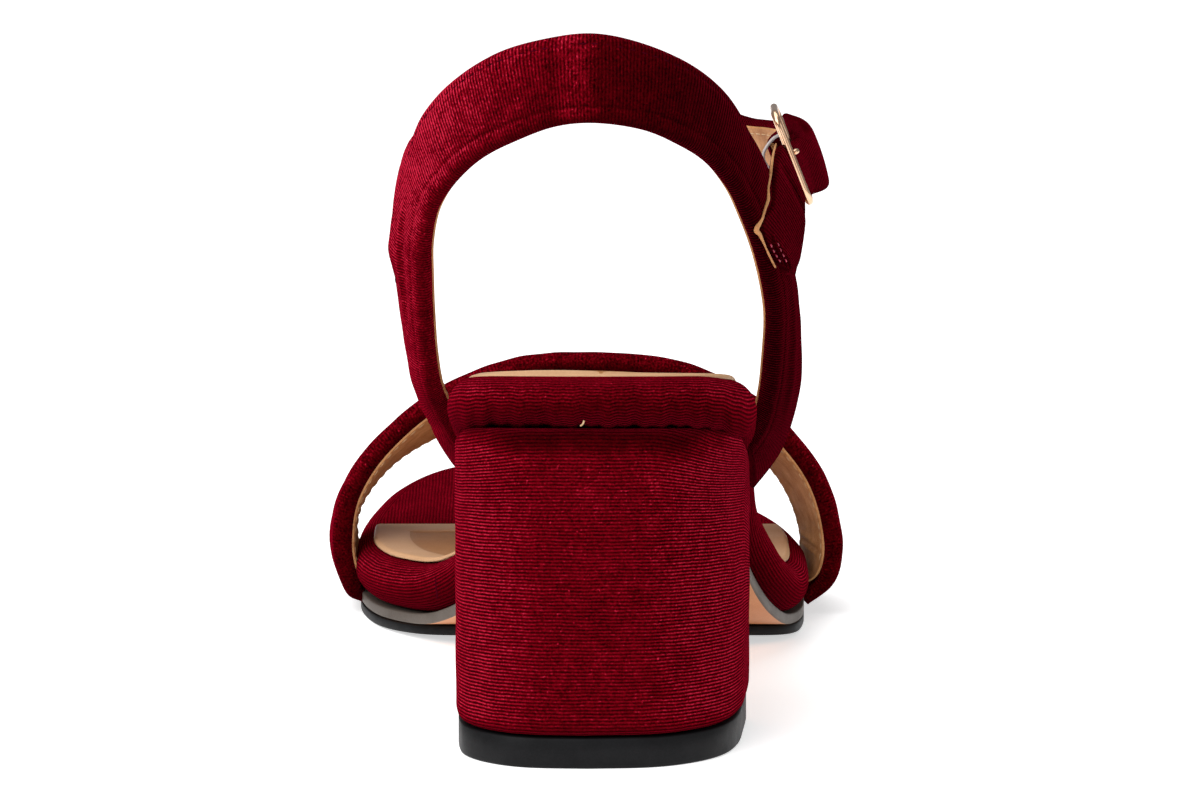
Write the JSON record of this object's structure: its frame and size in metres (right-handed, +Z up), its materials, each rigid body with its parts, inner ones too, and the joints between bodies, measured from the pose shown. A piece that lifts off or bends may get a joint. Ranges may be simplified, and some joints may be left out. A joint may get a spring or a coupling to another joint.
{
  "type": "block heel sandal",
  "caption": "Burgundy ribbed velvet sandal for the right foot, on a covered block heel, with a wide toe strap, a sling round the ankle and a small rose gold buckle.",
  "frame": {"origin": "middle of the underside of the heel, on the floor", "axes": "+Z up, +Y from the heel towards the toes, +X to the outer side of the foot, where the buckle is"},
  "size_m": [0.0966, 0.2243, 0.1277],
  "materials": {
    "velvet": "ribbed stretch velvet",
    "lining": "smooth tan lining",
    "sock": "matte beige",
    "sole": "satin tan",
    "rubber": "satin black",
    "buckle": "polished rose gold"
  },
  "bodies": {
    "root": {"heel_top_piece": "rubber", "heel_block": "velvet", "footbed": "velvet", "insole_sock": "sock", "outsole": "sole", "forepart_rubber": "rubber", "toe_strap": "velvet", "ankle_strap": "velvet", "buckle_frame": "buckle", "buckle_prong": "buckle"}
  },
  "joints": []
}
